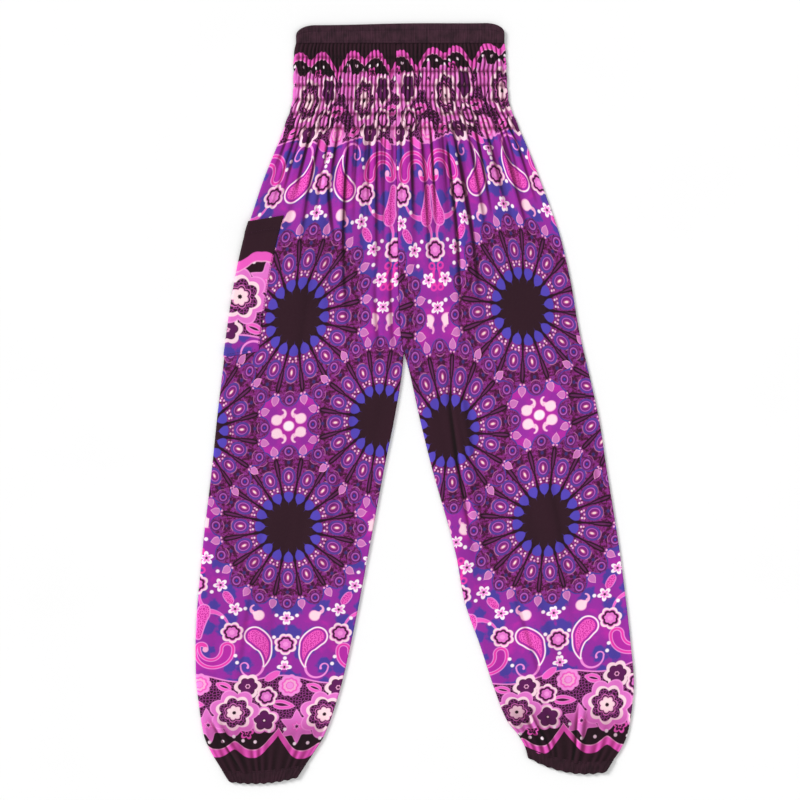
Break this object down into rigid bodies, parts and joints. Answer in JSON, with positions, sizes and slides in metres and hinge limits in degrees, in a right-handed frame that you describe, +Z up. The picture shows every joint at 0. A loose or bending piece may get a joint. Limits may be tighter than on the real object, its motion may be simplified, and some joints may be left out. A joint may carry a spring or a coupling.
{
  "type": "harem trousers",
  "caption": "Harem trousers laid flat: elastic casing over a shirred waist, full legs gathered into elastic ankles, and a patch pocket wrapped round one side.",
  "frame": {"origin": "on the surface that the trousers lie on, under the middle of their outline", "axes": "+X to the right as seen from above with the front up, towards the wearer's left, +Y towards the waist, +Z up from the surface through the back to the front"},
  "size_m": [0.5719, 0.9957, 0.0082],
  "materials": {
    "printed_cloth": "thin, soft rayon with a violet, plum, pink and cream all-over print, matt with a slight sheen",
    "waist_elastic_casing": "the same cloth, plain dark plum, turned over elastic, matt",
    "ankle_elastic_casing": "the same cloth, plain dark plum, turned over elastic, matt",
    "pocket_cloth": "the same cloth, cut from the print's border, with a plain dark top hem, matt"
  },
  "bodies": {
    "root": {"leg_left": "printed_cloth", "leg_right": "printed_cloth", "waist_casing": "waist_elastic_casing", "ankle_casing_left": "ankle_elastic_casing", "ankle_casing_right": "ankle_elastic_casing", "side_pocket": "pocket_cloth"}
  },
  "joints": []
}
